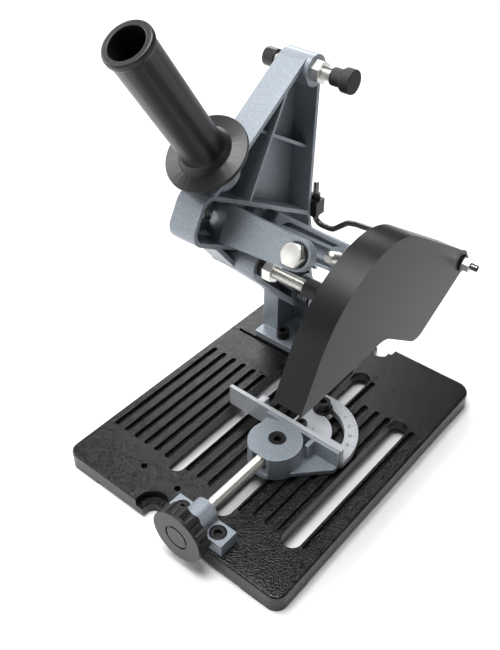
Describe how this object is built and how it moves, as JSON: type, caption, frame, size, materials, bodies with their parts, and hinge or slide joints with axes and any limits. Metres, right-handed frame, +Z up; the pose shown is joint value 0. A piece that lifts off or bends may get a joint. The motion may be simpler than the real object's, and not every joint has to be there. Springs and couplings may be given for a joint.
{
  "type": "angle grinder cut-off stand",
  "caption": "Cast slotted base with a sprung swing arm that clamps a hand-held grinder's gear head, a sheet disc guard, a tubular handle and a quick vise with an angle scale.",
  "frame": {"origin": "centre of the base's footprint, in the plane of its feet", "axes": "+X to the right along the front edge, +Y from the vise knob to the post, +Z up"},
  "size_m": [0.23, 0.304, 0.3757],
  "materials": {
    "black_base_paint": "cast iron with glossy black wrinkle paint",
    "grey_hammer_paint": "aluminium casting with blue-grey hammer paint",
    "bare_casting": "light grey painted casting",
    "guard_paint": "satin black powder coat on steel sheet",
    "black_plastic": "moulded black plastic, fine grain",
    "black_rubber": "moulded black rubber",
    "zinc_plate": "bright zinc plated steel",
    "black_oxide": "black oxide steel",
    "spring_steel": "dark oiled spring steel"
  },
  "bodies": {
    "stand": {"base_plate": "black_base_paint", "post": "grey_hammer_paint", "post_screws": "black_oxide", "pivot_bolt": "zinc_plate", "pivot_washers": "zinc_plate", "pivot_nut": "zinc_plate", "spring_bush": "zinc_plate", "return_spring": "spring_steel", "nut_block": "grey_hammer_paint", "nut_block_screws": "black_oxide", "fence": "bare_casting", "fence_pivot_screw": "black_oxide", "fence_lock_screw": "black_oxide", "fence_lock_washer": "black_oxide", "fence_nuts": "zinc_plate"},
    "arm": {"arm_casting": "grey_hammer_paint", "top_locknut": "zinc_plate", "lower_locknut": "zinc_plate", "handle_grip": "black_plastic", "handle_bolt": "zinc_plate", "guard_rod": "spring_steel", "rod_clamp": "black_oxide", "rod_nuts": "black_oxide", "guard_nut": "zinc_plate", "guard_backnut": "zinc_plate", "lower_spacer": "black_oxide"},
    "front_fork": {"front_bracket": "grey_hammer_paint", "front_grip_bolt": "zinc_plate", "front_grip_washer": "black_oxide", "front_clamp_bolt": "zinc_plate", "front_clamp_washer": "zinc_plate"},
    "rear_fork": {"rear_bracket": "grey_hammer_paint", "rear_grip_bolt": "zinc_plate", "rear_grip_washer": "black_oxide", "rear_clamp_bolt": "zinc_plate", "rear_clamp_washer": "zinc_plate"},
    "top_pad": {"top_foot": "black_rubber"},
    "top_spindle": {"top_screw": "zinc_plate", "top_screw_knob": "black_plastic"},
    "lower_pad": {"lower_cap": "black_rubber"},
    "lower_spindle": {"lower_screw": "zinc_plate", "lower_screw_knob": "black_plastic"},
    "guard_shell": {"guard": "guard_paint", "guard_washers": "black_oxide"},
    "jaw": {"moving_jaw": "grey_hammer_paint", "jaw_carrier": "zinc_plate", "jaw_screw": "black_oxide", "slide_nut": "zinc_plate"},
    "vise_spindle": {"lead_screw": "zinc_plate", "knob": "black_plastic"}
  },
  "joints": [
    {"name": "arm_swing", "type": "hinge", "parent": "stand", "child": "arm", "pos_m": [-0.057, 0.1, 0.077], "axis": [1, 0, 0], "range_deg": [0, 38], "stiffness_Nm_per_rad": 1.6, "springref_deg": -148.97, "deforming": ["return_spring"]},
    {"name": "front_fork_slide", "type": "slide", "parent": "arm", "child": "front_fork", "axis": [0, 0.866, -0.5], "range_m": [-0.01, 0.008]},
    {"name": "rear_fork_slide", "type": "slide", "parent": "arm", "child": "rear_fork", "axis": [0, 0.866, -0.5], "range_m": [-0.008, 0.01]},
    {"name": "top_pad_slide", "type": "slide", "parent": "arm", "child": "top_pad", "axis": [1, 0, 0], "range_m": [-0.008, 0.006]},
    {"name": "top_screw_turn", "type": "hinge", "parent": "top_pad", "child": "top_spindle", "pos_m": [-0.045, 0.088, 0.298], "axis": [1, 0, 0], "range_deg": [-1925, 1445]},
    {"name": "lower_pad_slide", "type": "slide", "parent": "arm", "child": "lower_pad", "axis": [1, 0, 0], "range_m": [-0.02, 0.006]},
    {"name": "lower_screw_turn", "type": "hinge", "parent": "lower_pad", "child": "lower_spindle", "pos_m": [-0.045, 0.006, 0.1675], "axis": [1, 0, 0], "range_deg": [-4805, 1445]},
    {"name": "guard_tilt", "type": "hinge", "parent": "arm", "child": "guard_shell", "pos_m": [0.099, 0.1, 0.176], "axis": [1, 0, 0], "range_deg": [-20, 0]},
    {"name": "jaw_slide", "type": "slide", "parent": "stand", "child": "jaw", "axis": [0, 1, 0], "range_m": [-0.04, 0]},
    {"name": "vise_screw_turn", "type": "hinge", "parent": "jaw", "child": "vise_spindle", "pos_m": [0.0281, -0.145, 0.0332], "axis": [0, 1, 0], "range_deg": [-9605, 5]}
  ],
  "couplings": [
    {"joint": "top_screw_turn", "follows": "top_pad_slide", "rad_per_m": 4188.8},
    {"joint": "lower_screw_turn", "follows": "lower_pad_slide", "rad_per_m": 4188.8},
    {"joint": "vise_screw_turn", "follows": "jaw_slide", "rad_per_m": 4188.8}
  ]
}
